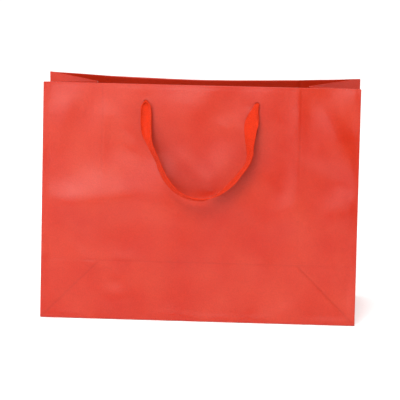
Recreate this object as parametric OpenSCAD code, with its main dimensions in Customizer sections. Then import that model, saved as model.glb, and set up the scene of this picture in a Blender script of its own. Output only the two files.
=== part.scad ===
// Paper gift bag: gusseted laminated-paper body on a flat glued base, with two ribbon handles.
// The origin is the middle of the underside, +Z is up and the front panel faces -Y.
// Front and back panels lean in from the base, and the side gussets fold in between them.
// The back panel is also pushed in between its top corners, so it has a flat middle and two wings.

/* [Bag] */
// Width of the front and back panels
bag_w = 320; // [260:1:400]
// Depth of the base, which is also the width of each side gusset
bag_d = 120; // [100:1:140]
// Height of the panels, measured up the paper
bag_h = 240; // [220:1:300]
// How far apart the top corners of the front and back panels stand
mouth = 60; // [56:1:80]
// How far the middle of the back panel is pushed in past its top corners
bow = 10; // [4:0.5:10]

/* [Paper and card] */
// Thickness of the laminated paper
paper = 0.35; // [0.25:0.05:0.4]
// Thickness of the card strips in the top edge
top_card_t = 1; // [0.6:0.1:1]
// Thickness of the card in the base
base_card_t = 1; // [0.8:0.1:2]
// Depth of the paper turned in along the top edge
turn_in_h = 36; // [25:1:40]
// Length of the glued flaps under the base, in from each edge
base_flap_l = 72; // [65:1:75]
// Width of the glued lap where the sheet closes into a tube
glue_lap_w = 20; // [12:1:25]

/* [Handles] */
// Width of the ribbon
ribbon_w = 15; // [10:1:16]
// Thickness of the ribbon
ribbon_t = 1; // [0.6:0.1:1.2]
// Distance between the two ribbon holes in a panel
hole_spacing = 112; // [90:1:130]
// Distance of the ribbon holes below the top edge
hole_drop = 18; // [15:1:25]
// Diameter of the ribbon holes
hole_d = 5; // [4.6:0.1:7]
// Angle at which a resting handle stands out from its panel
handle_stand = 7.5; // [7.5:0.5:12]

/* [Knots] */
// Outer radius of the knot behind the panel
knot_r = 6.5; // [5:0.5:8]
// Thickness of the knot
knot_t = 7; // [5:0.5:7.5]

/* [Hidden] */

paper_red = [0.84, 0.16, 0.13];
ribbon_red = [0.95, 0.13, 0.05];
card_white = [0.93, 0.92, 0.89];

// Room left along the creases, so that the pieces turn without touching.
panel_gap = 0.15;      // between a panel and the base flap that it is creased from
crease_gap = 0.95;     // between a panel's inner face and the gusset crease beside it
web_trim = 2;          // taken off the sloping edges of a gusset web
fold_trim = 0.5;       // taken off the sloping edge of a gusset fold
tip_gap = 0.5;         // between a gusset fold's top corner and the middle of the bag
wing_overlap = 0.3;    // by which the back panel's middle runs into its wings

// A side edge's lean from the vertical, which brings the top corners to the mouth's width.
lean = asin((bag_d - mouth) / 2 / bag_h);
// Angle between a panel and the gusset half folded in behind it, and the web's tilt that goes with it.
fold_reach = mouth / 2 / cos(lean) - paper - crease_gap - tip_gap;
fold_angle = asin(fold_reach / (bag_d / 2));
web_tilt = asin(bag_d / 2 * cos(fold_angle) / bag_h);
// The back panel's wings turn in from its side edges, and its middle leans in to meet them.
wing_angle = asin(bow / (bag_d / 2));
back_lean = lean + atan(bow / bag_h);
wing_x = bag_w / 2 - bag_d / 2 * cos(wing_angle);

// Sideways run of the web's sloping edges for each millimetre up the gusset.
slope = bag_d / 2 / bag_h;

front_card_inset = 16; // from the front panel's side edge to its top card, clear of the folded gusset
back_card_inset = 5;   // from the end of the back panel's middle to its top card
front_card_end = bag_w / 2 - front_card_inset;
back_card_end = wing_x - back_card_inset;
card_room = 1;         // from the end of the top card to the step in the turned-in paper
card_drop = 4;         // by which the top card is shorter than the turned-in paper
turn_in_inset = 0.5;   // from the side edge of a panel, or of the back panel's middle, to its turned-in paper
gusset_turn_in_edge = 8;
base_card_inset = 2;
base_end_flap_l = 60;
base_end_flap_inset = 2;
lap_overlap = bag_d / 2 - (bag_d - base_flap_l);

hole_u = bag_h - hole_drop;
shank_r = 2;
shank_proud = 0.2;     // of the panel's outer face
handle_axis_out = 1.2; // from the panel's outer face to the line about which a handle swings

// The hanging handle's route between its two holes, as [across, down, width, twist].
// The ribbon is gathered in each hole, faces forward down each leg, and is turned edge-on
// by a quarter twist on its way round the bottom of the loop.
handle_route = [
    [-56.0, 0, 5, 0],
    [-55.6, -5, 9, 0],
    [-55.2, -12, 13, 0],
    [-54.9, -21, 15, 0],
    [-54.0, -30, 15, 8],
    [-51.4, -39, 15, 28],
    [-48.0, -48, 15, 56],
    [-43.4, -57, 15, 80],
    [-39.2, -67, 15, 90],
    [-33.8, -77, 15, 90],
    [-26.2, -86, 15, 90],
    [-16.3, -93, 15, 90],
    [-4.2, -96.6, 15, 90],
    [7.0, -96.4, 15, 90],
    [17.4, -92, 15, 90],
    [26.2, -86, 15, 90],
    [34.4, -78, 15, 90],
    [41.5, -69, 15, 90],
    [47.6, -60, 15, 100],
    [50.0, -51, 15, 116],
    [49.8, -42, 15, 126],
    [50.0, -33, 15, 142],
    [50.3, -25, 15, 158],
    [51.2, -18, 14, 172],
    [52.8, -11, 10.4, 180],
    [54.4, -5, 6.4, 180],
    [56.0, 0, 5, 180]
];
route_span = 112;      // the hole spacing and the ribbon width that the route is given for
route_w = 15;

// ---------- placing ----------

// Stands its children up a panel at the front: x across, y in from the outer face, z up the paper.
module on_panel(tilt) {
    translate([0, -bag_d / 2, paper])
        rotate([-tilt, 0, 0])
            children();
}

// Turns its children half round, from the front of the bag to the back.
module at_back() {
    rotate([0, 0, 180])
        children();
}

// Lays its children along the gusset half behind the front panel's left edge:
// x in from the crease, y towards the middle of the bag, z up the crease.
module on_left_front_fold() {
    on_panel(lean)
        translate([-bag_w / 2 + paper, paper + crease_gap, 0])
            rotate([0, 0, fold_angle])
                children();
}

// Stands an outline drawn in x and y up in the x-z plane, with its thickness in front of y.
module upright(thickness, y = 0) {
    translate([0, y, 0])
        rotate([90, 0, 0])
            linear_extrude(height = thickness)
                children();
}

// ---------- paper body ----------

// The two ribbon holes, through whatever stands on a panel.
module ribbon_holes() {
    depth = 10;
    for (side = [-1, 1])
        translate([side * hole_spacing / 2, -depth / 2, hole_u])
            rotate([-90, 0, 0])
                cylinder(h = depth, d = hole_d, $fn = 48);
}

module front_panel() {
    color(paper_red)
        on_panel(lean)
            difference() {
                translate([-bag_w / 2, 0, panel_gap])
                    cube([bag_w, paper, bag_h - paper - panel_gap]);
                ribbon_holes();
            }
}

// The middle is wide at the base and narrows upwards, as the wings widen beside it.
module back_panel() {
    half = bag_w / 2;
    top = bag_h - paper;
    wing_slope = (half - wing_x) / bag_h;
    top_half = half - top * wing_slope + wing_overlap;
    full_to = wing_overlap / wing_slope;
    color(paper_red)
        at_back() {
            on_panel(back_lean)
                difference() {
                    upright(paper, paper)
                        polygon([
                            [-half, panel_gap], [half, panel_gap], [half, full_to],
                            [top_half, top], [-top_half, top], [-half, full_to]
                        ]);
                    ribbon_holes();
                }
            on_left_wing()
                upright(paper, paper)
                    wing_outline(full_to, top, 0);
            mirror([1, 0, 0])
                on_left_wing()
                    upright(paper, paper)
                        wing_outline(full_to, top, 0);
        }
}

// Lays its children on the wing at a panel's left edge: x in from the edge, y inwards, z up the edge.
module on_left_wing() {
    on_panel(lean)
        translate([-bag_w / 2 + paper * sin(wing_angle), 0, 0])
            rotate([0, 0, wing_angle])
                children();
}

// The part of a wing between two heights, set back from the panel's edge.
module wing_outline(low, top, edge) {
    polygon([[edge, low], [edge, top], [top * slope, top], [low * slope, low]]);
}

// The paper folded over a top edge and glued down inside, with a step over the card strip.
module turn_in(end, card_end) {
    step = card_end + card_room;
    low = bag_h - turn_in_h;
    difference() {
        union() {
            translate([-end, 0, bag_h - paper])
                cube([2 * end, 2 * paper, paper]);
            translate([-end, paper, low])
                cube([2 * end, paper, turn_in_h]);
            translate([-step, paper, low])
                cube([2 * step, top_card_t + paper, turn_in_h]);
        }
        translate([-step + paper, 0, low - 1])
            cube([2 * (step - paper), paper + top_card_t, turn_in_h + 1 - paper]);
        ribbon_holes();
    }
}

module front_turn_in() {
    color(paper_red)
        on_panel(lean)
            turn_in(bag_w / 2 - turn_in_inset, front_card_end);
}

module back_turn_in() {
    low = bag_h - turn_in_h;
    color(paper_red)
        at_back() {
            on_panel(back_lean)
                turn_in(wing_x - turn_in_inset, back_card_end);
            on_left_wing()
                upright(paper, 2 * paper)
                    wing_outline(low, bag_h - paper, turn_in_inset);
            mirror([1, 0, 0])
                on_left_wing()
                    upright(paper, 2 * paper)
                        wing_outline(low, bag_h - paper, turn_in_inset);
        }
}

module top_card(tilt, card_end) {
    height = turn_in_h - card_drop;
    color(card_white)
        on_panel(tilt)
            difference() {
                translate([-card_end, paper, bag_h - paper - height])
                    cube([2 * card_end, top_card_t, height]);
                ribbon_holes();
            }
}

// The lap inside the front panel's right edge, below the turned-in paper.
module glue_lap() {
    foot = 5;
    color(paper_red)
        on_panel(lean)
            translate([bag_w / 2 - turn_in_inset - glue_lap_w, paper, foot])
                cube([glue_lap_w, paper, bag_h - turn_in_h - foot - 1]);
}

// The three-cornered middle of a side gusset, which runs from the base to the top of the centre crease.
module left_web() {
    foot = paper * (3 + sin(web_tilt)) / cos(web_tilt);
    run = web_trim / cos(atan(slope));
    half_foot = bag_d / 2 - run - foot * slope;
    apex = bag_h - run / slope;
    color(paper_red)
        translate([-bag_w / 2, 0, 0])
            rotate([0, web_tilt, 0])
                rotate([0, 0, 90])
                    upright(paper)
                        polygon([[-half_foot, foot], [half_foot, foot], [0, apex]]);
}

// The narrow three-cornered strip of gusset between a panel's side edge and the web.
module left_front_fold() {
    run = fold_trim / cos(atan(slope));
    top = bag_h - paper;
    color(paper_red)
        on_left_front_fold()
            upright(paper)
                polygon([[0, run / slope], [0, top], [top * slope - run, top]]);
}

module left_front_fold_turn_in() {
    run = fold_trim / cos(atan(slope));
    low = bag_h - turn_in_h;
    top = bag_h - paper;
    edge = gusset_turn_in_edge;
    color(paper_red)
        on_left_front_fold()
            upright(paper, -paper)
                polygon([[edge, low], [edge, top], [top * slope - run, top], [low * slope - run, low]]);
}

// ---------- base ----------

// The outermost flap, flat on the ground.
module back_flap() {
    color(paper_red)
        translate([-bag_w / 2, bag_d / 2 - base_flap_l, 0])
            cube([bag_w, base_flap_l, paper]);
}

// The front flap steps up over the back flap's glued edge.
module front_flap() {
    step_y = bag_d / 2 - base_flap_l;
    color(paper_red)
        difference() {
            translate([-bag_w / 2, -bag_d / 2, 0])
                cube([bag_w, base_flap_l, 2 * paper]);
            translate([-bag_w / 2 - 1, step_y - panel_gap, -1])
                cube([bag_w + 2, lap_overlap * 2 + panel_gap + 1, 1 + paper]);
            translate([-bag_w / 2 - 1, -bag_d / 2 - 1, paper])
                cube([bag_w + 2, bag_d / 2 + 1 + step_y - panel_gap - paper, 2 * paper]);
        }
}

// A gusset's flap, mitred at 45 degrees where the base folds.
module left_flap() {
    half = bag_d / 2 - base_end_flap_inset;
    mitre = base_end_flap_l / 2;
    color(paper_red)
        translate([-bag_w / 2, 0, 2 * paper])
            linear_extrude(height = paper)
                polygon([
                    [0, -half], [mitre, -half], [base_end_flap_l, -half + mitre],
                    [base_end_flap_l, half - mitre], [mitre, half], [0, half]
                ]);
}

module floor_card() {
    length = bag_w - 2 * base_card_inset;
    width = bag_d - 2 * base_card_inset;
    color(card_white)
        translate([-length / 2, -width / 2, 3 * paper])
            cube([length, width, base_card_t]);
}

// ---------- handles ----------

// Half the outline of a flat bun: a disc with a half-round rim.
module bun_outline(radius, thickness) {
    rim = thickness / 2;
    square([radius - rim, thickness]);
    intersection() {
        translate([radius - rim, rim])
            circle(r = rim, $fn = 48);
        square([radius, thickness]);
    }
}

// The ribbon gathered through the left hole, and the knot that stops it behind the panel.
module left_knot(tilt) {
    inner_face = 2 * paper + top_card_t;
    color(ribbon_red)
        on_panel(tilt)
            translate([-hole_spacing / 2, 0, hole_u])
                rotate([-90, 0, 0])
                    union() {
                        translate([0, 0, -shank_proud])
                            cylinder(h = inner_face + shank_proud + knot_t / 2, r = shank_r, $fn = 48);
                        translate([0, 0, inner_face])
                            rotate_extrude($fn = 48)
                                bun_outline(knot_r, knot_t);
                    }
}

function route_point(i) = [
    handle_route[i][0] * hole_spacing / route_span,
    handle_route[i][1]
];

// Direction of the ribbon at a point of its route.
function route_way(i) =
    let (
        before = route_point(max(i - 1, 0)),
        after = route_point(min(i + 1, len(handle_route) - 1)),
        step = after - before
    )
    i == 0 ? [0, -1] : i == len(handle_route) - 1 ? [0, 1] : step / norm(step);

// Flat cross-section with thin round edges, as [across the width, through the thickness].
function ribbon_section(width) =
    let (w = width / 2, t = ribbon_t / 2, e = ribbon_t / 4)
    [[-w, -e], [-w + e, -t], [w - e, -t], [w, -e], [w, e], [w - e, t], [-w + e, t], [-w, e]];

// The section set square to the route and turned by the ribbon's twist.
function ribbon_ring(i) =
    let (
        p = route_point(i),
        way = route_way(i),
        side = [-way[1], 0, way[0]],
        out = [0, -1, 0],
        twist = handle_route[i][3],
        across = side * cos(twist) + out * sin(twist),
        through = -side * sin(twist) + out * cos(twist)
    )
    [
        for (s = ribbon_section(handle_route[i][2] * ribbon_w / route_w))
            [p[0], 0, p[1]] + across * s[0] + through * s[1]
    ];

module ribbon_loop() {
    rings = len(handle_route);
    sides = len(ribbon_section(ribbon_w));
    points = [for (i = [0 : rings - 1]) each ribbon_ring(i)];
    skin = [
        for (i = [0 : rings - 2], j = [0 : sides - 1])
            let (k = (j + 1) % sides)
            each [
                [i * sides + j, i * sides + k, (i + 1) * sides + k],
                [i * sides + j, (i + 1) * sides + k, (i + 1) * sides + j]
            ]
    ];
    first_end = [for (j = [sides - 1 : -1 : 0]) j];
    last_end = [for (j = [0 : sides - 1]) (rings - 1) * sides + j];
    polyhedron(points = points, faces = concat(skin, [first_end, last_end]), convexity = 6);
}

module handle(tilt) {
    color(ribbon_red)
        on_panel(tilt)
            translate([0, -handle_axis_out, hole_u])
                rotate([-handle_stand, 0, 0])
                    ribbon_loop();
}

// ---------- nodes ----------

front_panel();
back_panel();
left_web();  // left_gusset_web
at_back() left_web();  // right_gusset_web
left_front_fold();  // left_front_gusset_fold
mirror([1, 0, 0]) left_front_fold();  // right_front_gusset_fold
mirror([0, 1, 0]) left_front_fold();  // left_back_gusset_fold
at_back() left_front_fold();  // right_back_gusset_fold
left_front_fold_turn_in();  // left_front_gusset_turn_in
mirror([1, 0, 0]) left_front_fold_turn_in();  // right_front_gusset_turn_in
mirror([0, 1, 0]) left_front_fold_turn_in();  // left_back_gusset_turn_in
at_back() left_front_fold_turn_in();  // right_back_gusset_turn_in
front_turn_in();
back_turn_in();
top_card(lean, front_card_end);  // front_top_card
at_back() top_card(back_lean, back_card_end);  // back_top_card
glue_lap();  // side_glue_lap
left_flap();  // base_left_flap
at_back() left_flap();  // base_right_flap
front_flap();  // base_front_flap
back_flap();  // base_back_flap
floor_card();  // base_card
left_knot(lean);  // front_left_knot
mirror([1, 0, 0]) left_knot(lean);  // front_right_knot
mirror([0, 1, 0]) left_knot(back_lean);  // back_left_knot
at_back() left_knot(back_lean);  // back_right_knot
handle(lean);  // front_handle
at_back() handle(back_lean);  // back_handle
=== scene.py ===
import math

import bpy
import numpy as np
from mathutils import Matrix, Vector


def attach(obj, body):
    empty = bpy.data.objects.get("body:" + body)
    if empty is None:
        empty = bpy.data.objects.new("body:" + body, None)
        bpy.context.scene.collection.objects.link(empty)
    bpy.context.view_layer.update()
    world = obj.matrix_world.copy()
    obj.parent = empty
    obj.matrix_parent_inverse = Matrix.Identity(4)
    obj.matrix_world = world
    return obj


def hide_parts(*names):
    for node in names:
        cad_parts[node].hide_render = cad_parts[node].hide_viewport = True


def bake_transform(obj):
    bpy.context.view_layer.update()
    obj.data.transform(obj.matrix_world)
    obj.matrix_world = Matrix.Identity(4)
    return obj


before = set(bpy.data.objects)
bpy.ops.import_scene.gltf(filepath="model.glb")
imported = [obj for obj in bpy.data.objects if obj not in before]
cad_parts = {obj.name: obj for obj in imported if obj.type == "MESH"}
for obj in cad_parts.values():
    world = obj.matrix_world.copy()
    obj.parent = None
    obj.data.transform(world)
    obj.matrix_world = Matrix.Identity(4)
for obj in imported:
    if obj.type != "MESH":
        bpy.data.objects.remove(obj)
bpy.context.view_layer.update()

# Red laminated-paper gift bag with ribbon handles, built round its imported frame.
# Lengths are in millimetres up to the point where a mesh is made, and MM turns them into metres.
# X runs across the bag, the front faces -Y, and Z is up from the ground.
# A point of a wall is given as across (x), up the paper (u), and inwards from the paper's outer face (n).
# s is a distance in from a side edge, and side is -1 for the front and 1 for the back.

MM = 0.001

# ---------- sizes ----------

BAG_W = 320
BAG_D = 120
BAG_H = 240
MOUTH = 60
BOW = 10                # of the back panel, in the frame
EXTRA_BOW = 6           # that the soft paper of the back panel adds in its middle
BULGE = 3               # of the front panel's top edge, outwards
PAPER = 0.35
CARD = 1.0
HEM_H = 36              # paper turned in along the top edge
CARD_DROP = 4           # by which the card in the top edge is shorter than the turned-in paper
FRONT_CARD_END = 144
BACK_CARD_END = 95.8
LAP_W = 20
LAP_FOOT = 5
EDGE_R = 0.7            # outer radius of the creases up the bag's corners
FOOT_R = 1.2            # outer radius of the creases round its base
FLAP_L = 72
END_FLAP_L = 60
END_FLAP_INSET = 2
CREASE_H = 60           # height of the crease pressed across the panels
CREASE_DEPTH = 0.2
GRID = 1.25             # spacing of the sheets' grids, which puts the pressed creases on grid lines

HOLE_X = 56
HOLE_U = 222
HOLE_R = 2.5
RIBBON_W = 15
RIBBON_T = 0.7
PRESSED = 0.45          # of a round curl's depth, as the ribbon's curl lies
RIBBON_IN_HOLE = 4.4    # width of the ribbon where it is bunched up in a hole
HOLE_SAG = 0.2          # of the ribbon below the middle of a hole
BEHIND_HOLE = -1.4      # where the ribbon's course starts, outwards from the wall's outer face
BEFORE_HOLE = 0.8       # where it turns down
CURL_SLACK = 0.02       # keeps the full width from asking for no curl at all
CURVE_STEPS = 10        # points of a handle's smooth course to each row of its route
RIBBON_CLEAR = 0.6      # from its edge or its middle line to the wall
HANDLE_OUT = 1.2
HANDLE_STAND = math.radians(7.5)

LEAN = math.asin((BAG_D - MOUTH) / 2 / BAG_H)
FOLD_ANGLE = math.asin(MOUTH / BAG_D / math.cos(LEAN))
WEB_TILT = math.asin(BAG_D / 2 * math.cos(FOLD_ANGLE) / BAG_H)
GUSSET_HALF = BAG_D / 2
GUSSET_SLOPE = GUSSET_HALF / BAG_H
BACK_LEAN = LEAN + math.atan(BOW / BAG_H)


# ---------- small helpers ----------

def smooth(t):
    """0 below 0, 1 above 1, and a soft step between them."""
    t = np.clip(t, 0, 1)
    return t * t * (3 - 2 * t)


def ridge(x, u, at, half, turn, height):
    """A soft raised streak, half[0] long and half[1] wide each way, turned anticlockwise by turn degrees."""
    c, s = math.cos(math.radians(turn)), math.sin(math.radians(turn))
    along = ((x - at[0]) * c + (u - at[1]) * s) / half[0]
    across = (-(x - at[0]) * s + (u - at[1]) * c) / half[1]
    return height * np.exp(-(along ** 2 + across ** 2))


def groove(distance, depth):
    """A pressed crease: a narrow valley, one grid step wide each way."""
    return -depth * np.clip(1 - np.abs(distance) / GRID, 0, 1)


# ---------- the walls' surfaces ----------

CREASE_ACROSS = 0.8     # depth of the crease across a panel, as a share of CREASE_DEPTH
CREASE_UP = 0.7         # depth of the creases up its sides, as a share of CREASE_DEPTH
NEAR_EDGE = 0.4         # share of the crease across that is left near the side edges
LOW_DOWN = 0.35         # share of the creases up the sides that is left in their lower part
RISE_ACROSS = 0.12      # height of the step in the paper at the crease across
RISE_UP = 0.25          # at the creases up the sides
RISE_CORNER = 0.26      # at the creases into the corners
DENT_SCALE = 1.7        # turns the heights in the tables of dents into millimetres
RUMPLE_WAVES = 28
RUMPLE_SHORTEST = 28
RUMPLE_LONGEST = 85
RUMPLE_HEIGHT = 0.16
WEB_BULGE = 3.2         # by which the middle of a gusset's web stands inwards
GUSSET_FOOT = 0.1       # how far up the paper a gusset's sheet starts
GUSSET_HEM_SHORT = 0.4  # by which a gusset's turned-in paper ends before the middle crease

# Soft dents and ridges of the front panel: [across, up], [half length, half width], turn, height.
FRONT_DENTS = [
    ([-104, 122], [66, 22], 2, 1.5),
    ([-104, 124], [60, 13], 3, 0.3),
    ([-100, 174], [52, 22], 0, -1.2),
    ([-99, 196], [30, 8], 88, 0.7),
    ([-73, 192], [24, 8], -40, 0.6),
    ([-126, 252], [26, 34], 0, -0.5),
    ([-140, 195], [30, 8], 75, 0.5),
    ([25, 199], [14, 8], -30, 0.7),
    ([-8, 155], [34, 9], -45, 0.6),
    ([98, 188], [60, 8], 90, 0.5),
    ([141, 184], [44, 11], -62, 1.1),
    ([150, 246], [16, 16], 0, -0.6),
    ([131, 149], [36, 12], -20, -1.1),
    ([128, 116], [40, 15], -6, 0.7),
    ([125, 28], [52, 45], 0, -0.8),
    ([20, 122], [42, 34], 0, 1.1),
    ([22, 50], [46, 20], 0, -0.6),
    ([62, 61], [18, 9], 0, 0.7),
    ([-84, 22], [26, 14], 12, 0.6),
    ([-126, 88], [44, 10], -47, -0.7),
    ([-74, 60], [26, 9], 0, 0.4),
    ([-56, 228], [7, 4], 0, -0.15),
    ([47.5, 220.5], [9, 4], -35, -0.3),
    ([15, 24], [60, 14], 0, -0.4),
    ([95, 14], [20, 9], 10, 0.5),
]

BACK_DENTS = [
    ([-70, 120], [50, 18], 12, 1.0),
    ([60, 160], [46, 14], -20, -0.9),
    ([-40, 175], [22, 9], 40, 0.6),
    ([110, 105], [34, 12], -35, 0.8),
    ([-128, 95], [38, 10], -52, -0.7),
    ([20, 75], [40, 14], 6, 0.6),
    ([75, 26], [20, 10], -15, 0.5),
    ([-60, 30], [44, 12], 4, -0.4),
    ([56, 228], [7, 4], 0, -0.5),
]


def pressed_creases(x, u):
    """The creases left from the flat-folded bag: one across, one up each side, and one into each corner."""
    s = BAG_W / 2 - np.abs(x)
    away_from_edge = NEAR_EDGE + (1 - NEAR_EDGE) * smooth((s - 25) / 30)
    higher_up = LOW_DOWN + (1 - LOW_DOWN) * smooth((u - 130) / 50)
    across = groove(u - CREASE_H, CREASE_ACROSS * CREASE_DEPTH) * away_from_edge
    up = groove(s - CREASE_H, CREASE_UP * CREASE_DEPTH) * smooth((u - CREASE_H) / 12) * higher_up
    corner = groove((s - u) / math.sqrt(2), CREASE_DEPTH) * smooth((CREASE_H + 1 - u) / 4)
    return across + up + corner


def crease_steps(x, u):
    """The slight step in the paper at each pressed crease, where one side stands out more than the other."""
    s = BAG_W / 2 - np.abs(x)
    below = smooth((CREASE_H - u) / 2.5 + 0.5)
    inside = smooth((s - CREASE_H) / 3 + 0.5)
    above = smooth((u - s) / 3 + 0.5)
    across = RISE_ACROSS * smooth((-110 - x) / 30) * smooth(s / 10) * below * smooth(u / 40)
    up = RISE_UP * inside * smooth((110 - s) / 40) * smooth((u - 120) / 60)
    corner = RISE_CORNER * above * smooth((s + 4) / 20) * smooth(u / 15) * smooth((CREASE_H + 6 - u) / 20)
    mostly_right = np.where(x > 0, 1, 0.4)
    opposite_ways = np.where(x < 0, 1, -0.6)
    return across + up * mostly_right + corner * opposite_ways


def rumple(x, u, seed):
    """Slight unevenness of handled paper, from waves of many lengths and directions."""
    rng = np.random.default_rng(seed)
    total = 0 * (x + u)
    for _ in range(RUMPLE_WAVES):
        length = rng.uniform(RUMPLE_SHORTEST, RUMPLE_LONGEST)
        way = rng.uniform(0, math.pi)
        phase = rng.uniform(0, 2 * math.pi)
        across = x * math.cos(way) + u * math.sin(way)
        total = total + (length / RUMPLE_LONGEST) ** 1.2 * np.sin(2 * math.pi * across / length + phase)
    return RUMPLE_HEIGHT * total


def hem_marks(u):
    """What shows outside of the turned-in paper: its lower edge, and the flattened strip along the fold."""
    low_edge = 0.07 * smooth((u - BAG_H + HEM_H) / 4)
    lean_back = -0.45 * smooth((u - BAG_H + 20) / 24)
    fold_strip = -0.12 * smooth((u - BAG_H + 4.5) / 1.6)
    return low_edge + lean_back + fold_strip


def foot_roll(u):
    """A low roll just above the base, where the paper turns under."""
    return 0.25 * np.exp(-((u - 5) / 5) ** 2) * smooth(u / 3)


def dents(x, u, table, seed):
    """The sum of a wall's soft dents, which fade out at its side edges and its foot."""
    s = BAG_W / 2 - np.abs(x)
    total = DENT_SCALE * sum(ridge(x, u, *row) for row in table) + rumple(x, u, seed)
    return total * smooth(s / 9) * smooth(u / 10)


def front_relief(x, u):
    """How far the front panel's outer face stands out from its flat plane."""
    bulge = BULGE * (1 - (x / (BAG_W / 2)) ** 2) * smooth(u / BAG_H)
    marks = hem_marks(u) * smooth((BAG_W / 2 - np.abs(x)) / 3)
    pressed = pressed_creases(x, u) + crease_steps(x, u)
    return bulge + marks + dents(x, u, FRONT_DENTS, 3) + pressed + foot_roll(u)


def back_relief(x, u):
    """How far the back panel's outer face stands out, which is mostly inwards: its middle is pushed in."""
    s = BAG_W / 2 - np.abs(x)
    wing = BOW * s / GUSSET_HALF
    middle = BOW * u / BAG_H
    pushed = np.minimum(wing, middle)
    soften = 1.2 * np.exp(-((wing - middle) / 1.6) ** 2)
    inner = np.clip(s / GUSSET_HALF - 1, 0, None) * GUSSET_HALF / (BAG_W / 2 - GUSSET_HALF)
    more = EXTRA_BOW * smooth(inner) * smooth(u / BAG_H)
    marks = hem_marks(u) * smooth(s / 3)
    pressed = pressed_creases(x, u) + crease_steps(x, u)
    return -(pushed - 0.3 * soften * smooth(u / 30) + more) + marks + dents(x, u, BACK_DENTS, 8) + pressed


def wall_point(x, u, n, side):
    """A point of a leaning wall, side -1 at the front and 1 at the back."""
    y = -BAG_D / 2 + n * math.cos(LEAN) + u * math.sin(LEAN)
    z = PAPER - n * math.sin(LEAN) + u * math.cos(LEAN)
    return np.stack(np.broadcast_arrays(x, -side * y, z), axis=-1)


def front_surface(x, u, n):
    """A point of the front panel, n inwards from its uneven outer face."""
    return wall_point(x, u, n - front_relief(x, u), -1)


def back_surface(x, u, n):
    """A point of the back panel, n inwards from its uneven outer face."""
    return wall_point(x, u, n - back_relief(x, u), 1)


def gusset_surface(s, u, n, side_x, side_y):
    """A point of a gusset half: s in from the panel's edge, towards the middle of the bag's side."""
    start = EDGE_R * (1 - smooth(s / 9))
    fold_x = -BAG_W / 2 + s * math.cos(FOLD_ANGLE) + n * math.sin(FOLD_ANGLE)
    fold_n = start + s * math.sin(FOLD_ANGLE) - n * math.cos(FOLD_ANGLE)
    fold = wall_point(fold_x, u, fold_n, -1)
    web_u = u * math.cos(WEB_TILT) - n * math.sin(WEB_TILT) + PAPER
    web_x = -BAG_W / 2 + u * math.sin(WEB_TILT) + n * math.cos(WEB_TILT)
    crease = u * GUSSET_SLOPE
    in_web = np.clip((s - crease) / np.maximum(GUSSET_HALF - crease, 1), 0, 1)
    tent = WEB_BULGE * in_web ** 1.4 * smooth(u / 50) * smooth((BAG_H - u) / 60)
    marks = -groove((s - u) / math.sqrt(2), 0.3) * smooth((CREASE_H + 1 - u) / 4)
    marks = marks - groove(u - CREASE_H, 0.25)
    wave = ridge(s, u, [30, 120], [26, 22], 30, 0.7) + ridge(s, u, [22, 40], [20, 12], -20, -0.5)
    inwards = tent + marks + wave * smooth(s / 8) * smooth((GUSSET_HALF - s) / 8)
    web = np.stack(np.broadcast_arrays(web_x + inwards, s - BAG_D / 2, web_u), axis=-1)
    w = smooth((s - crease) / 6 + 0.5)[..., None]
    return ((1 - w) * fold + w * web) * np.array([-side_x, -side_y, 1])


# ---------- meshes ----------

def piece(name, points, faces, materials, creased=35, crease_shade=None):
    """A new object from points in millimetres, shaded smooth except across sharp edges.

    The last argument gives how much of a pressed crease each point has; the paper's material darkens its
    colour there as painted shade.
    """
    used = np.unique(np.concatenate([np.ravel(f) for f in faces]))
    place = np.full(len(points), -1)
    place[used] = np.arange(len(used))
    mesh = bpy.data.meshes.new(name)
    mesh.from_pydata((points[used] * MM).tolist(), [], [place[list(f)].tolist() for f in faces])
    mesh.update()
    for m in materials:
        mesh.materials.append(m)
    mesh.shade_smooth()
    mesh.set_sharp_from_angle(angle=math.radians(creased))
    if crease_shade is not None:
        mesh.attributes.new("crease_shade", "FLOAT", "POINT").data.foreach_set("value", crease_shade.ravel()[used])
    made = bpy.data.objects.new(name, mesh)
    bpy.context.scene.collection.objects.link(made)
    return made


def apply_modifiers(made):
    """Bakes an object's modifiers into its mesh."""
    shown = made.evaluated_get(bpy.context.evaluated_depsgraph_get())
    mesh = bpy.data.meshes.new_from_object(shown)
    old = made.data
    made.modifiers.clear()
    made.data = mesh
    bpy.data.meshes.remove(old)
    mesh.name = made.name


def thicken(made, thickness, inner=1, rim=1):
    """Gives a sheet its thickness, inwards from its outer face."""
    solid = made.modifiers.new("thickness", "SOLIDIFY")
    solid.thickness = thickness * MM
    solid.offset = -1
    solid.material_offset = inner
    solid.material_offset_rim = rim
    apply_modifiers(made)
    made.data.shade_smooth()
    made.data.set_sharp_from_angle(angle=math.radians(35))


def grid_faces(rows, cols, flip, keep=None, height=None):
    """Faces of a grid. Given heights, each cell is split along its lower diagonal, to keep grooves clean."""
    index = np.arange(rows * cols).reshape(rows, cols)
    a, b, c, d = index[:-1, :-1], index[:-1, 1:], index[1:, 1:], index[1:, :-1]
    if flip:
        b, d = d, b
    cells = np.stack([a, b, c, d], axis=-1).reshape(-1, 4)
    if keep is not None:
        cells = cells[keep.ravel()]
    if height is None:
        return list(cells)
    h = height.ravel()[cells]
    along_ac = (h[:, 0] + h[:, 2]) < (h[:, 1] + h[:, 3])
    ac, bd = cells[along_ac], cells[~along_ac]
    return list(np.concatenate([ac[:, [0, 1, 2]], ac[:, [0, 2, 3]], bd[:, [0, 1, 3]], bd[:, [1, 2, 3]]]))


def sheet(name, points, materials, flip=False, keep=None, height=None,
          thickness=PAPER, inner=1, rim=1, crease_shade=None):
    """A sheet of paper from a grid of points on its outer face."""
    rows, cols = points.shape[:2]
    faces = grid_faces(rows, cols, flip, keep, height)
    made = piece(name, points.reshape(-1, 3), faces, materials, crease_shade=crease_shade)
    thicken(made, thickness, inner, rim)
    return made


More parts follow.
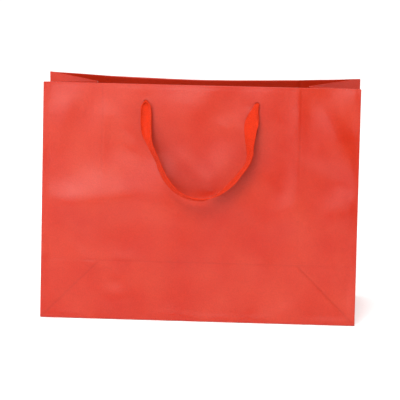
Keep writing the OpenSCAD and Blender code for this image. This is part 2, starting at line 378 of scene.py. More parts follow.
def open_holes(x, u):
    """Moves the rims of the two ribbon holes onto circles. Returns which grid cells are left."""
    keep = np.ones((x.shape[0] - 1, x.shape[1] - 1), bool)
    for side in (-1, 1):
        dx, du = x - side * HOLE_X, u - HOLE_U
        far = np.hypot(dx, du)
        mid_x = (dx[:-1, :-1] + dx[1:, 1:]) / 2
        mid_u = (du[:-1, :-1] + du[1:, 1:]) / 2
        cut = np.hypot(mid_x, mid_u) < HOLE_R
        keep &= ~cut
        in_cut = np.zeros(x.shape, bool)
        in_kept = np.zeros(x.shape, bool)
        for rows in (slice(None, -1), slice(1, None)):
            for cols in (slice(None, -1), slice(1, None)):
                in_cut[rows, cols] |= cut
                in_kept[rows, cols] |= ~cut
        rim = in_cut & in_kept
        x[rim] = side * HOLE_X + dx[rim] * HOLE_R / far[rim]
        u[rim] = HOLE_U + du[rim] * HOLE_R / far[rim]
    return keep


def hem_depth(x, card_end):
    """How far the turned-in paper stands inwards, which is more where the card strip lies under it."""
    over_card = smooth((card_end + 3 - np.abs(x)) / 3)
    return 2 * PAPER + CARD * over_card


def panel(name, surface, relief, side, card_end, materials):
    """A front or back panel, with its side and bottom edges rounded over the creases."""
    arc = np.radians([90, 45, 0])
    edge_x = BAG_W / 2 - EDGE_R + EDGE_R * np.sin(arc)
    edge_n = EDGE_R - EDGE_R * np.cos(arc)
    inner_x = np.arange(-BAG_W / 2 + GRID, BAG_W / 2 - GRID / 2, GRID)
    x_line = np.concatenate([-edge_x, inner_x, edge_x[::-1]])
    n_line = np.concatenate([edge_n, inner_x * 0, edge_n[::-1]])
    turn = np.linspace(math.pi / 2 + LEAN, 0, 6)
    foot_u = (FOOT_R - PAPER + FOOT_R * math.sin(LEAN)) / math.cos(LEAN)
    low_u = foot_u - FOOT_R * np.sin(turn)
    low_n = FOOT_R - FOOT_R * np.cos(turn)
    u_line = np.concatenate([low_u, np.arange(2 * GRID, BAG_H - GRID / 2, GRID), [BAG_H]])
    n_rise = np.concatenate([low_n, np.zeros(len(u_line) - len(low_n))])
    x = np.tile(x_line, (len(u_line), 1))
    u = np.tile(u_line[:, None], (1, len(x_line)))
    n = n_line[None, :] + n_rise[:, None]
    u[-1] -= hem_depth(x_line, card_end) / 2
    keep = open_holes(x, u)
    # How much of each pressed crease a point has, for the painted shade along the creases.
    crease_shade = -pressed_creases(x, u) / CREASE_DEPTH
    return sheet(name, surface(x, u, n), materials, side > 0, keep, relief(x, u), rim=0, crease_shade=crease_shade)


def hem(name, surface, line, depth, drop, materials, flip, holes=False):
    """The paper folded over a top edge in a half round and glued down inside."""
    turn = np.radians(np.linspace(0, 180, 9))
    r = depth / 2
    over_u = BAG_H - r[None, :] + r[None, :] * np.sin(turn)[:, None]
    over_n = r[None, :] - r[None, :] * np.cos(turn)[:, None]
    down = np.arange(BAG_H - 2 * GRID, BAG_H - drop - GRID / 2, -GRID)
    down_u = np.tile(down[:, None], (1, len(line)))
    down_n = np.tile(depth, (len(down), 1))
    u = np.concatenate([over_u, down_u])
    n = np.concatenate([over_n, down_n])
    x = np.tile(line, (len(u), 1))
    low = smooth((BAG_H - drop + CARD_DROP - u) / CARD_DROP)
    n = n - low * (n - 2 * PAPER)
    keep = open_holes_below(x, u, len(turn)) if holes else None
    return sheet(name, surface(x, u, n), materials, flip, keep)


def open_holes_below(x, u, first):
    """The holes in the turned-in side of a hem, below its first rows, which lie over the edge."""
    keep = np.ones((x.shape[0] - 1, x.shape[1] - 1), bool)
    keep[first:] = open_holes(x[first:], u[first:])
    return keep


def strip(name, surface, x_ends, u_ends, n, thickness, materials, flip, holes=False):
    """A flat strip laid along the inside of a wall."""
    cols = int((x_ends[1] - x_ends[0]) / GRID) + 1
    rows = int((u_ends[1] - u_ends[0]) / GRID) + 1
    x, u = np.meshgrid(np.linspace(*x_ends, cols), np.linspace(*u_ends, rows))
    keep = open_holes(x, u) if holes else None
    return sheet(name, surface(x, u, n), materials, flip, keep, thickness=thickness, inner=0, rim=0)


# ---------- ribbon ----------

# The front handle's route between its holes: [across, down, width, twist in degrees].
# Where its width is less than the ribbon's own, the ribbon is curled lengthwise.
FRONT_ROUTE = [
    [-56.0, 0, 5, 8],
    [-55.6, -5, 9.2, 10],
    [-55.2, -12, 10.8, 12],
    [-54.9, -21, 11, 16],
    [-54.0, -30, 11.5, 28],
    [-51.4, -39, 13.5, 60],
    [-48.0, -48, 15, 70],
    [-43.4, -57, 15, 73],
    [-39.2, -67, 15, 72],
    [-33.8, -77, 15, 71],
    [-26.2, -86, 15, 74],
    [-16.3, -93, 15, 80],
    [-4.2, -96.6, 15, 84],
    [7.0, -96.4, 15, 88],
    [17.4, -92, 15, 98],
    [26.2, -86, 15, 106],
    [34.4, -78, 15, 110],
    [41.5, -69, 15, 108],
    [47.6, -60, 15, 108],
    [50.0, -51, 15, 116],
    [49.8, -42, 15, 122],
    [50.0, -33, 15, 136],
    [50.3, -25, 15, 150],
    [51.2, -18, 14, 168],
    [52.8, -11, 10.4, 178],
    [54.4, -5, 6.4, 180],
    [56.0, 0, 5, 180],
]
BACK_ROUTE = [[-x, down, width, 180 - twist] for x, down, width, twist in reversed(FRONT_ROUTE)]


def along_curve(points, per_span):
    """A smooth curve through every row of points, which may carry more values than a place."""
    p = np.array(points, float)
    p = np.concatenate([2 * p[:1] - p[1:2], p, 2 * p[-1:] - p[-2:-1]])
    t = np.linspace(0, 1, per_span, endpoint=False)[:, None]
    spans = []
    for i in range(1, len(p) - 2):
        a, b, c, d = p[i - 1:i + 3]
        spans.append(0.5 * (2 * b + (c - a) * t + (2 * a - 5 * b + 4 * c - d) * t ** 2
                            + (3 * b - a - 3 * c + d) * t ** 3))
    return np.concatenate(spans + [p[-2:-1]])


def curl(width):
    """Radius and half angle of the arc that a ribbon bends into where it is only this wide."""
    if width < RIBBON_W * 2 / math.pi:
        return width / 2, RIBBON_W / width
    low, high = 0.05, math.pi / 2
    for _ in range(40):
        middle = (low + high) / 2
        if math.sin(middle) / middle > width / (RIBBON_W + CURL_SLACK):
            low = middle
        else:
            high = middle
    return RIBBON_W / 2 / low, low


def tape_points(centres, across, through, widths, around=21):
    """Grid of points of a ribbon. Where it is narrower than its own width, it is curled lengthwise."""
    v = np.linspace(-1, 1, around)
    arcs = np.array([curl(min(w, RIBBON_W)) for w in widths])
    radius, angle = arcs[:, :1], arcs[:, 1:]
    side = radius * np.sin(v * angle)
    back = PRESSED * radius * (np.cos(v * angle) - (1 + np.cos(angle)) / 2)
    return centres[:, None] + across[:, None] * side[..., None] + through[:, None] * back[..., None]


def curl_depth(width):
    """How deep the ribbon's lengthwise curl is where it is only this wide."""
    radius, angle = curl(min(width, RIBBON_W))
    return PRESSED * radius * (1 - math.cos(angle))


def tape(name, grid, materials):
    """A ribbon from its grid of points, with its weave laid out along and across it in millimetres."""
    rows, cols = grid.shape[:2]
    made = piece(name, grid.reshape(-1, 3), grid_faces(rows, cols, False), materials, creased=180)
    steps = np.linalg.norm(np.diff(grid.mean(axis=1), axis=0), axis=1)
    run = np.concatenate([[0], np.cumsum(steps)])
    lie = np.zeros((rows, cols, 3))
    lie[..., 0] = run[:, None]
    lie[..., 1] = np.linspace(-RIBBON_W / 2, RIBBON_W / 2, cols)
    weave = made.data.attributes.new("lie", "FLOAT_VECTOR", "POINT")
    weave.data.foreach_set("vector", lie.ravel())
    solid = made.modifiers.new("thickness", "SOLIDIFY")
    solid.thickness = RIBBON_T * MM
    solid.offset = 0
    apply_modifiers(made)
    made.data.shade_smooth()
    made.data.set_sharp_from_angle(angle=math.radians(50))
    return made


def handle_frame(side):
    """A handle's own directions: across, up along its hanging legs, and outwards from them."""
    tilt = HANDLE_STAND + (LEAN if side < 0 else BACK_LEAN)
    rise = np.array([0, -side * math.sin(tilt), math.cos(tilt)])
    out = np.array([0, side * math.cos(tilt), math.sin(tilt)])
    return np.array([1.0, 0, 0]), rise, out


def handle_line(route, side, surface):
    """A handle's course from behind one hole to behind the other: rows of place, width and twist."""
    across_way, rise, out = handle_frame(side)
    holes = [surface(np.array(float(s * HOLE_X)), np.array(float(HOLE_U)), np.array(0.0)) for s in (-1, 1)]
    middle = (holes[0] + holes[1]) / 2
    rows = []
    for across, down, width, twist in route[1:-1]:
        room = HANDLE_OUT - down * math.sin(HANDLE_STAND)
        turn = math.radians(twist)
        half_depth = curl_depth(width) / 2
        needed = abs(width / 2 * math.sin(turn)) + abs(half_depth * math.cos(turn)) + RIBBON_CLEAR
        hanging = middle + across_way * across + rise * down
        place = hanging + out * max(room, needed) - out * (room - HANDLE_OUT)
        rows.append([*place, width, turn])
    first, last = math.radians(route[0][3]), math.radians(route[-1][3])
    sag = rise * HOLE_SAG
    entry = [[*(holes[0] + out * depth - sag), RIBBON_IN_HOLE, first] for depth in (BEHIND_HOLE, BEFORE_HOLE)]
    leave = [[*(holes[1] + out * depth - sag), RIBBON_IN_HOLE, last] for depth in (BEFORE_HOLE, BEHIND_HOLE)]
    return along_curve(entry + rows + leave, CURVE_STEPS), middle


def handle(name, route, side, surface, node, material):
    """A ribbon handle, out of one hole, hanging in a loop and into the other hole."""
    _, rise, out = handle_frame(side)
    line, middle = handle_line(route, side, surface)
    centres, widths, turned = line[:, :3], line[:, 3], line[:, 4:]
    way = np.gradient(centres, axis=0)
    way /= np.linalg.norm(way, axis=1)[:, None]
    outwards = np.clip(np.abs(way @ out) * 1.3 - 0.15, 0, 1)[:, None]
    up = out * (1 - outwards) + rise * outwards
    up = up - way * (up * way).sum(axis=1)[:, None]
    up /= np.linalg.norm(up, axis=1)[:, None]
    level = np.cross(up, way)
    across = level * np.cos(turned) + up * np.sin(turned)
    through = level * np.sin(turned) - up * np.cos(turned)
    made = tape(name, tape_points(centres, across, through, widths), [material])
    path = centres[::5] * MM
    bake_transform(made)
    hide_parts(node)
    [float(v) for v in path[0]]
    [list(map(float, q)) for q in path]


def tube(centres, radii, around=14):
    """Rings of points round a line, with four slight lengthwise lumps like bunched ribbon."""
    way = np.gradient(centres, axis=0)
    way /= np.linalg.norm(way, axis=1)[:, None]
    ref = np.array([0.3, 1.0, 0.2])
    rows = []
    for c, w, r in zip(centres, way, radii):
        a = ref - w * (ref @ w)
        a /= np.linalg.norm(a)
        b = np.cross(w, a)
        ref = a
        turn = np.linspace(0, 2 * math.pi, around, endpoint=False)
        lump = r * (1 + 0.10 * np.cos(4 * turn))
        rows.append(c + lump[:, None] * (np.cos(turn)[:, None] * a + np.sin(turn)[:, None] * b))
    return np.array(rows)


def tube_faces(rows, around, first):
    """Faces of a tube with closed ends, whose points start at number first."""
    faces = []
    for i in range(rows - 1):
        for j in range(around):
            k = (j + 1) % around
            faces.append([first + i * around + j, first + i * around + k,
                          first + (i + 1) * around + k, first + (i + 1) * around + j])
    faces.append([first + j for j in range(around)][::-1])
    faces.append([first + (rows - 1) * around + j for j in range(around)])
    return faces


KNOT_FACE = 2 * PAPER + CARD   # inner face of the wall, where a knot lies
KNOT_WIDE = 1.42        # scale of the knot's loops, across and up
KNOT_DEEP = 1.35        # half depth of its loops, inwards
KNOT_OUT = 3.5          # from the wall's inner face to the middle of the loops
STRAND_R = 2.05         # radius of the bunched ribbon in the loops
KNOT_WEAVE = 1.3        # scale of the weave on a knot
TAIL_ROUTE = [          # [across, up, inwards from the wall's inner face]
    [0, -2, 3.8],
    [0.6, -7, 3.2],
    [1.0, -12, 1.6],
    [0.6, -17, 1.3],
]


def knot_strands():
    """The courses and radii of an overhand knot's loops, its neck in the hole and its short tail."""
    t = np.linspace(0, 2 * math.pi, 73)
    a = np.sin(t) + 2 * np.sin(2 * t)
    b = np.cos(t) - 2 * np.cos(2 * t)
    c = -np.sin(3 * t)
    loops = np.stack([a * KNOT_WIDE, b * KNOT_WIDE, KNOT_FACE + KNOT_OUT + c * KNOT_DEEP], axis=-1)
    neck = np.stack([np.zeros(7), np.zeros(7), np.linspace(-0.5, KNOT_FACE + 3.4, 7)], axis=-1)
    tail = along_curve([[across, up, KNOT_FACE + inwards] for across, up, inwards in TAIL_ROUTE], 5)
    return (
        (loops, np.full(len(loops), STRAND_R)),
        (neck, np.linspace(2.0, 2.1, 7)),
        (tail, np.linspace(2.0, 1.2, len(tail))),
    )


def knot(name, side_x, side, surface, wall, node, material):
    """The ribbon's end, tied behind the wall."""
    points, faces = [], []
    for line, radii in knot_strands():
        ring = tube(line, radii)
        faces += tube_faces(len(line), ring.shape[1], sum(len(p) for p in points))
        points.append(ring.reshape(-1, 3))
    local = np.concatenate(points)
    hole_x = np.full(len(local), float(side_x * HOLE_X))
    hole_u = np.full(len(local), float(HOLE_U))
    on_wall = surface(hole_x, hole_u, local[:, 2])
    rise = np.array([0, -side * math.sin(LEAN), math.cos(LEAN)])
    placed = on_wall + local[:, :1] * np.array([1.0, 0, 0]) + local[:, 1:2] * rise
    made = piece(name, placed, faces, [material], creased=60)
    weave = made.data.attributes.new("lie", "FLOAT_VECTOR", "POINT")
    weave.data.foreach_set("vector", (local * KNOT_WEAVE).ravel())
    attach(made, wall)
    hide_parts(node)


# ---------- materials ----------

# Painted shade: the dark red mixed into the paper's colour along the pressed creases.
CREASE_SHADE_RED = (0.12, 0.002, 0.001)
RIB = 0.75              # from one rib of the ribbon to the next
RIB_BAND = 2.5          # width of each band of ribs, which run one way


class Nodes:
    """A material's node tree, with short ways to add to it."""

    def __init__(self, name):
        """Starts a material with its one shader."""
        self.material = bpy.data.materials.new(name)
        self.material.use_nodes = True
        self.tree = self.material.node_tree
        self.shader = self.tree.nodes["Principled BSDF"]

    def add(self, kind, **values):
        """A new node with these properties."""
        made = self.tree.nodes.new(kind)
        for key, value in values.items():
            setattr(made, key, value)
        return made

    def link(self, source, target):
        """Joins an output to an input."""
        self.tree.links.new(source, target)

    def set(self, **values):
        """Sets the shader's own sockets, with _ for each space in a socket's name."""
        for key, value in values.items():
            self.shader.inputs[key.replace("_", " ")].default_value = value

    def noise(self, scale, detail=2.0, rough=0.5, stretch=None):
        """Noise over the object, with scale in features per metre."""
        place = self.add("ShaderNodeTexCoord")
        made = self.add("ShaderNodeTexNoise")
        made.inputs["Scale"].default_value = scale
        made.inputs["Detail"].default_value = detail
        made.inputs["Roughness"].default_value = rough
        source = place.outputs["Object"]
        if stretch:
            mapping = self.add("ShaderNodeMapping")
            mapping.inputs["Scale"].default_value = stretch
            self.link(source, mapping.inputs["Vector"])
            source = mapping.outputs["Vector"]
        self.link(source, made.inputs["Vector"])
        return made.outputs["Fac"]

    def ramp(self, source, stops):
        """A colour ramp between two stops, each of them (place, colour)."""
        made = self.add("ShaderNodeValToRGB")
        for element, (place, colour) in zip(made.color_ramp.elements, stops):
            element.position = place
            element.color = (*colour, 1)
        self.link(source, made.inputs["Fac"])
        return made.outputs["Color"]

    def spread(self, source, low, high, start=0.3, end=0.7):
        """A number from low to high as source goes from start to end."""
        made = self.add("ShaderNodeMapRange")
        for key, value in (("From Min", start), ("From Max", end), ("To Min", low), ("To Max", high)):
            made.inputs[key].default_value = value
        self.link(source, made.inputs["Value"])
        return made.outputs["Result"]

    def math(self, operation, a, b=None):
        """The result of an operation on outputs or plain numbers."""
        made = self.add("ShaderNodeMath", operation=operation)
        for socket, value in zip(made.inputs, (a, b)):
            if value is None:
                continue
            if isinstance(value, (int, float)):
                socket.default_value = value
            else:
                self.link(value, socket)
        return made.outputs["Value"]

    def mix(self, share, a, b, blend="MIX"):
        """A colour mixed from a and b, which are outputs or plain colours."""
        made = self.add("ShaderNodeMix", data_type="RGBA", blend_type=blend)
        for socket, value in ((made.inputs[0], share), (made.inputs[6], a), (made.inputs[7], b)):
            if isinstance(value, (int, float)):
                socket.default_value = value
            elif isinstance(value, tuple):
                socket.default_value = (*value, 1)
            else:
                self.link(value, socket)
        return made.outputs[2]

    def bump(self, heights):
        """Bumps in turn: heights are (source, distance in metres, strength)."""
        normal = None
        for source, distance, strength in heights:
            made = self.add("ShaderNodeBump")
            made.inputs["Distance"].default_value = distance
            made.inputs["Strength"].default_value = strength
            self.link(source, made.inputs["Height"])
            if normal:
                self.link(normal, made.inputs["Normal"])
            normal = made.outputs["Normal"]
        self.link(normal, self.shader.inputs["Normal"])


def laminated_paper(name, deep, light, gloss):
    """Printed paper under a satin film, with soft mottling whose lighter, milkier patches are painted sheen,
    a fine grain and fibres under the film.

    Its colour is darkened along the pressed creases as painted shade.
    """
    n = Nodes(name)
    mottle_and_sheen = n.noise(scale=17, detail=5, rough=0.6)
    grain = n.noise(scale=750, detail=3, rough=0.6)
    fibres = n.noise(scale=260, detail=4, rough=0.6, stretch=(1, 1, 2.2))
    # The lighter, milkier stop of this ramp is painted sheen of the satin film; the rest of the spread is the
    # print's random tone.
    colour = n.ramp(mottle_and_sheen, [(0.3, deep), (0.7, light)])
    speckle = n.ramp(grain, [(0.35, (0.88, 0.88, 0.88)), (0.62, (1.05, 1.05, 1.05))])
    # Painted shade: the colour is darkened along the pressed creases.
    creased = n.add("ShaderNodeAttribute", attribute_name="crease_shade")
    crease_shade = n.spread(creased.outputs["Fac"], low=0.0, high=0.15, start=0.0, end=1.0)
    speckled = n.mix(0.8, colour, speckle, "MULTIPLY")
    n.link(n.mix(crease_shade, speckled, CREASE_SHADE_RED), n.shader.inputs["Base Color"])
    uneven = n.noise(scale=16, detail=5, rough=0.6, stretch=(1, 1, 0.8))
    n.link(n.spread(uneven, low=0.285, high=0.42, start=0.38, end=0.62), n.shader.inputs["Roughness"])
    n.set(Specular_IOR_Level=gloss, Coat_Weight=0.04, Coat_Roughness=0.3, Coat_IOR=1.45)
    n.bump([(fibres, 0.00012, 0.4), (grain, 0.00014, 0.9)])
    return n.material


def plain_paper(name, tone):
    """The unprinted side of the paper: matt, with soft fibres."""
    n = Nodes(name)
    fibres = n.noise(scale=700, detail=5, rough=0.65, stretch=(1, 1, 3))
    shaded = tuple(0.95 * c for c in tone)
    colour = n.ramp(n.noise(scale=25, detail=3), [(0.3, shaded), (0.7, tone)])
    flecks = n.ramp(fibres, [(0.3, (0.93, 0.93, 0.92)), (0.7, (1, 1, 1))])
    n.link(n.mix(1.0, colour, flecks, "MULTIPLY"), n.shader.inputs["Base Color"])
    n.link(n.spread(fibres, low=0.78, high=0.9), n.shader.inputs["Roughness"])
    n.set(Specular_IOR_Level=0.3)
    n.bump([(fibres, 0.00008, 0.5)])
    return n.material


def board(name):
    """Grey-white card with flecks."""
    n = Nodes(name)
    flecks = n.noise(scale=900, detail=6, rough=0.7)
    layers = n.noise(scale=160, detail=3, rough=0.5)
    colour = n.ramp(layers, [(0.3, (0.66, 0.63, 0.57)), (0.7, (0.76, 0.73, 0.68))])
    dots = n.ramp(flecks, [(0.32, (0.70, 0.68, 0.64)), (0.45, (1, 1, 1))])
    n.link(n.mix(1.0, colour, dots, "MULTIPLY"), n.shader.inputs["Base Color"])
    n.link(n.spread(layers, low=0.8, high=0.92), n.shader.inputs["Roughness"])
    n.set(Specular_IOR_Level=0.25)
    n.bump([(flecks, 0.0001, 0.5)])
    return n.material


def woven_ribbon(name):
    """Herringbone ribbon: diagonal ribs that change direction in bands, their grooves darkened as painted
    shade, with a soft sheen.
    """
    n = Nodes(name)
    lie = n.add("ShaderNodeAttribute", attribute_name="lie")
    parts = n.add("ShaderNodeSeparateXYZ")
    n.link(lie.outputs["Vector"], parts.inputs["Vector"])
    zigzag = n.math("PINGPONG", parts.outputs["Y"], RIB_BAND)
    phase = n.math("MULTIPLY", n.math("ADD", parts.outputs["X"], zigzag), 2 * math.pi / RIB)
    ribs = n.math("SINE", phase)
    height = n.spread(ribs, low=0.0, high=1.0, start=-1.0, end=1.0)
    patchy = n.noise(scale=180, detail=3)
    # Painted shade: the colour goes darker down in the grooves between the ribs.
    colour = n.ramp(height, [(0.0, (0.40, 0.012, 0.001)), (1.0, (0.74, 0.034, 0.002))])
    tint = n.ramp(patchy, [(0.3, (0.92, 0.92, 0.92)), (0.7, (1.05, 1.05, 1.05))])
    n.link(n.mix(1.0, colour, tint, "MULTIPLY"), n.shader.inputs["Base Color"])
    n.link(n.spread(height, low=0.62, high=0.48, start=0.0, end=1.0), n.shader.inputs["Roughness"])
    n.set(Specular_IOR_Level=0.14, Sheen_Weight=0.06, Sheen_Roughness=0.4, Sheen_Tint=(1.0, 0.5, 0.4, 1.0))
    n.bump([(height, 0.00025, 0.7), (n.noise(scale=2200, detail=2), 0.00008, 0.4)])
    return n.material


def studio_floor(name):
    """Pale floor that glows a little by its emission as painted light, and goes dark as painted shade some
    way in front of the bag.
    """
    n = Nodes(name)
    place = n.add("ShaderNodeTexCoord")
    parts = n.add("ShaderNodeSeparateXYZ")
    n.link(place.outputs["Object"], parts.inputs["Vector"])
    painted_light_share = n.spread(parts.outputs["Y"], low=0.35, high=1.0, start=-2.2, end=-0.7)
    # Painted shade: the floor's colour darkens away in front of the bag; painted light: its emission glow,
    # strongest near the bag.
    n.link(n.mix(painted_light_share, (0.2, 0.2, 0.2), (0.93, 0.93, 0.93)), n.shader.inputs["Base Color"])
    n.link(n.math("MULTIPLY", painted_light_share, 0.2), n.shader.inputs["Emission Strength"])
    n.set(Roughness=0.9, Specular_IOR_Level=0.1, Emission_Color=(1, 1, 1, 1))
    return n.material


# The panels' light stop, much milkier than the deep one, holds most of the painted sheen.
PANEL_RED = laminated_paper("panel_red_laminate", (0.41, 0.012, 0.001), (0.455, 0.030, 0.010), 0.36)
GUSSET_RED = laminated_paper("gusset_red_laminate", (0.41, 0.017, 0.004), (0.45, 0.021, 0.005), 0.25)
HEM_RED = laminated_paper("turned_in_red_laminate", (0.41, 0.017, 0.004), (0.45, 0.021, 0.005), 0.25)
BASE_RED = laminated_paper("base_red_laminate", (0.41, 0.018, 0.005), (0.45, 0.022, 0.006), 0.3)
PAPER_WHITE = plain_paper("unprinted_paper", (0.86, 0.84, 0.80))
BOARD = board("greyboard")
RIBBON = woven_ribbon("herringbone_ribbon")
FLOOR = studio_floor("pale_floor")


# ---------- camera, light and floor, in metres ----------

AZIMUTH = math.radians(2.7)
ELEVATION = math.radians(13.2)
ROLL = math.radians(0.93)
DISTANCE = 2.4
TARGET = Vector((-0.0015, 0, 0.113))
LENS = 209.7
SENSOR = 36
LIGHT_AIM = (0, 0, 0.12)
FLOOR_REACH = 8.0       # from the middle of the floor to its edges
FLOOR_Z = -0.0003       # just under the bag


def make_camera():
    """A long lens at the height and turn from which the bag is seen, rolled a little."""
    forward = Vector((-math.sin(AZIMUTH) * math.cos(ELEVATION), math.cos(AZIMUTH) * math.cos(ELEVATION),
                      -math.sin(ELEVATION)))
    right = Vector((math.cos(AZIMUTH), math.sin(AZIMUTH), 0))
    up = right.cross(forward)
    rolled_right = right * math.cos(ROLL) + up * math.sin(ROLL)
    rolled_up = up * math.cos(ROLL) - right * math.sin(ROLL)
    data = bpy.data.cameras.new("camera")
    data.lens = LENS
    data.sensor_width = SENSOR
    data.clip_end = 50
    camera = bpy.data.objects.new("camera", data)
    bpy.context.scene.collection.objects.link(camera)
    axes = Matrix((rolled_right, rolled_up, -forward)).transposed()
    camera.matrix_world = Matrix.Translation(TARGET - forward * DISTANCE) @ axes.to_4x4()
    bpy.context.scene.camera = camera


def soft_light(name, azimuth, elevation, distance, size, power):
    """A rectangular soft light. Azimuth 0 is in front of the bag and 90 is on its right."""
    a, e = math.radians(azimuth), math.radians(elevation)
    data = bpy.data.lights.new(name, "AREA")
    data.shape = "RECTANGLE"
    data.size, data.size_y = size
    data.energy = power
    light = bpy.data.objects.new(name, data)
    bpy.context.scene.collection.objects.link(light)
    away = Vector((math.sin(a) * math.cos(e), -math.cos(a) * math.cos(e), math.sin(e)))
    light.location = Vector(LIGHT_AIM) + away * distance
    light.rotation_mode = "QUATERNION"
    light.rotation_quaternion = away.to_track_quat("Z", "Y")


def make_daylight():
    """Pale light from all round, dimmer towards the front, where a studio is dark behind the camera."""
    world = bpy.data.worlds.new("studio")
    world.use_nodes = True
    tree = world.node_tree
    place = tree.nodes.new("ShaderNodeTexCoord")
    parts = tree.nodes.new("ShaderNodeSeparateXYZ")
    tree.links.new(place.outputs["Generated"], parts.inputs["Vector"])
    towards_back = tree.nodes.new("ShaderNodeMapRange")
    towards_back.interpolation_type = "SMOOTHSTEP"
    for key, value in (("From Min", -0.95), ("From Max", -0.2), ("To Min", 0.07), ("To Max", 0.9)):
        towards_back.inputs[key].default_value = value
    tree.links.new(parts.outputs["Y"], towards_back.inputs["Value"])
    tree.links.new(towards_back.outputs["Result"], tree.nodes["Background"].inputs["Strength"])
    tree.nodes["Background"].inputs["Color"].default_value = (1.0, 0.99, 0.98, 1)
    bpy.context.scene.world = world


def make_studio():
    """Floor, daylight and three soft lights."""
    mesh = bpy.data.meshes.new("floor")
    r, z = FLOOR_REACH, FLOOR_Z
    mesh.from_pydata([(-r, -r, z), (r, -r, z), (r, r, z), (-r, r, z)], [], [(0, 1, 2, 3)])
    mesh.materials.append(FLOOR)
    floor = bpy.data.objects.new("floor", mesh)
    bpy.context.scene.collection.objects.link(floor)
    make_daylight()
    soft_light("key", azimuth=-12, elevation=50, distance=2.2, size=(1.1, 0.8), power=28)
    soft_light("sheen", azimuth=-24, elevation=20, distance=3.2, size=(3.0, 0.7), power=56)
    soft_light("top", azimuth=0, elevation=86, distance=1.8, size=(1.6, 1.0), power=8)
    bpy.context.scene.view_settings.view_transform = "Standard"


make_camera()
make_studio()


# ---------- pieces ----------

GLUE_GAP = 0.02         # left between glued sheets, so that their faces don't coincide
CARD_BELOW_FOLD = 0.6   # from the folded top edge down to the card strip
SIDE_INSET = 0.5        # from a panel's side edge to its turned-in paper and to the base flaps
LAP_INSET = 0.8         # from the front panel's side edge to the glue lap
FLAP_UNDER = 0.03       # height of the lowest flaps' underside
FLAP_OVER = 2 * PAPER + 0.06  # height of the end flaps' underside, above the two long ones
FLAP_WAVE = 0.03        # height of the long waves in a glued flap
LAP_SLOPE = 1.5         # length over which the front flap climbs onto the back one


def own(made, body, node):
    """Puts a finished piece on its body, in place of its frame node."""
    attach(made, body)
    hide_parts(node)


def make_wall(end, surface, relief, side, card_end, hem_end):
    """A panel with what is glued inside its top edge, and the tied knots of its handle."""
    body = end + "_wall"
    flip = side > 0
    own(panel(end + "_panel_paper", surface, relief, side, card_end, [PANEL_RED, PAPER_WHITE]),
        body, end + "_panel")
    line = np.arange(-hem_end, hem_end + GRID / 2, GRID)
    own(hem(end + "_turned_in_paper", surface, line, hem_depth(line, card_end), HEM_H,
            [HEM_RED, PAPER_WHITE], flip, holes=True), body, end + "_turn_in")
    card_x = (-card_end, card_end)
    card_u = (BAG_H - HEM_H + CARD_DROP, BAG_H - PAPER - CARD_BELOW_FOLD)
    own(strip(end + "_card_strip", surface, card_x, card_u, PAPER + GLUE_GAP, CARD - 2 * GLUE_GAP, [BOARD],
              flip, holes=True), body, end + "_top_card")
    for across, word in ((-1, "left"), (1, "right")):
        knot(f"{end}_{word}_tied_knot", across, side, surface, body, f"{end}_{word}_knot", RIBBON)


def make_gusset_half(word_x, word_y, side_x, side_y):
    """Half a side gusset with its turned-in paper."""
    def surface(s, u, n):
        """A point of this gusset half."""
        return gusset_surface(s, u, n, side_x, side_y)

    flip = side_x * side_y > 0
    s, u = np.meshgrid(np.arange(0, GUSSET_HALF + GRID / 2, GRID), np.arange(0, BAG_H + GRID / 2, GRID))
    u[0] = GUSSET_FOOT
    u[-1] = BAG_H - PAPER
    paper = sheet(f"{word_x}_{word_y}_gusset_paper", surface(s, u, 0), [GUSSET_RED, PAPER_WHITE], flip, rim=0)
    line = np.arange(2 * GRID, GUSSET_HALF + GRID / 2, GRID)
    line[-1] = GUSSET_HALF - GUSSET_HEM_SHORT
    depth = np.full(len(line), 2 * PAPER)
    turned = hem(f"{word_x}_{word_y}_gusset_turned_in", surface, line, depth, HEM_H,
                 [HEM_RED, PAPER_WHITE], flip)
    edge = wall_point(BAG_W / 2 * side_x, BAG_H / 2, 0, side_y)
    for made in (paper, turned):
        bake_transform(made)
    web = [f"{word_x}_gusset_web"] if side_y < 0 else []
    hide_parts(f"{word_x}_{word_y}_gusset_fold", *web)
    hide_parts(f"{word_x}_{word_y}_gusset_turn_in")


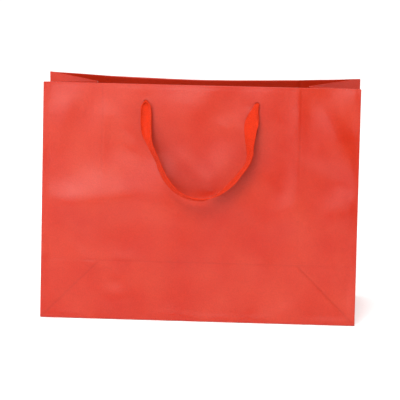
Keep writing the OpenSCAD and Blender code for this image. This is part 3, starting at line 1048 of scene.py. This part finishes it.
def make_flap(end, x_line, y_line, underside, lap_y=None, mitre=None):
    """A flap of the base, from the height of its underside.

    Past lap_y it climbs onto the flap below it. A mitre draws its corners in, from this far from its crease.
    """
    x, y = np.meshgrid(x_line, y_line)
    if mitre is not None:
        reach = np.clip(BAG_W / 2 - np.abs(x) - mitre, 0, None)
        y = np.clip(y, -(BAG_D / 2 - END_FLAP_INSET) + reach, BAG_D / 2 - END_FLAP_INSET - reach)
    height = np.full(x.shape, underside)
    if lap_y is not None:
        height = height + PAPER * smooth((y - lap_y) / LAP_SLOPE + 1)
    height = height + FLAP_WAVE * np.sin(x / 23) * np.sin(y / 17) ** 2
    made = sheet(f"base_{end}_flap_paper", np.stack([x, y, height], axis=-1), [BASE_RED, PAPER_WHITE], True)
    own(made, "base", f"base_{end}_flap")


def make_base():
    """Four flaps glued over each other, and the card on top of them."""
    foot = BAG_D / 2 - FOOT_R * (1 + math.sin(LEAN)) - 0.1
    half = BAG_W / 2 - SIDE_INSET
    x_line = np.linspace(-half, half, 65)
    lap_y = BAG_D / 2 - FLAP_L
    make_flap("back", x_line, np.linspace(lap_y, foot, 30), FLAP_UNDER)
    make_flap("front", x_line, np.linspace(-foot, -lap_y, 60), FLAP_UNDER, lap_y=lap_y)
    end_y = np.linspace(-BAG_D / 2 + END_FLAP_INSET, BAG_D / 2 - END_FLAP_INSET, 41)
    for end, sign in (("left", -1), ("right", 1)):
        ends = sorted((sign * half, sign * (BAG_W / 2 - END_FLAP_L)))
        make_flap(end, np.linspace(*ends, 25), end_y, FLAP_OVER, mitre=END_FLAP_L / 2)
    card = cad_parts["base_card"]
    card.data.materials.clear()
    card.data.materials.append(BOARD)


make_wall("front", front_surface, front_relief, -1, FRONT_CARD_END, BAG_W / 2 - SIDE_INSET)
make_wall("back", back_surface, back_relief, 1, BACK_CARD_END, BAG_W / 2 - SIDE_INSET)
handle("front_ribbon_handle", FRONT_ROUTE, -1, front_surface,
       "front_handle", RIBBON)
handle("back_ribbon_handle", BACK_ROUTE, 1, back_surface,
       "back_handle", RIBBON)
for word_x, side_x in (("left", -1), ("right", 1)):
    for word_y, side_y in (("front", -1), ("back", 1)):
        make_gusset_half(word_x, word_y, side_x, side_y)
own(strip("side_lap_paper", front_surface, (BAG_W / 2 - LAP_INSET - LAP_W, BAG_W / 2 - LAP_INSET),
          (LAP_FOOT, BAG_H - HEM_H - 1), PAPER + GLUE_GAP, PAPER, [PAPER_WHITE], False),
    "front_wall", "side_glue_lap")
make_base()
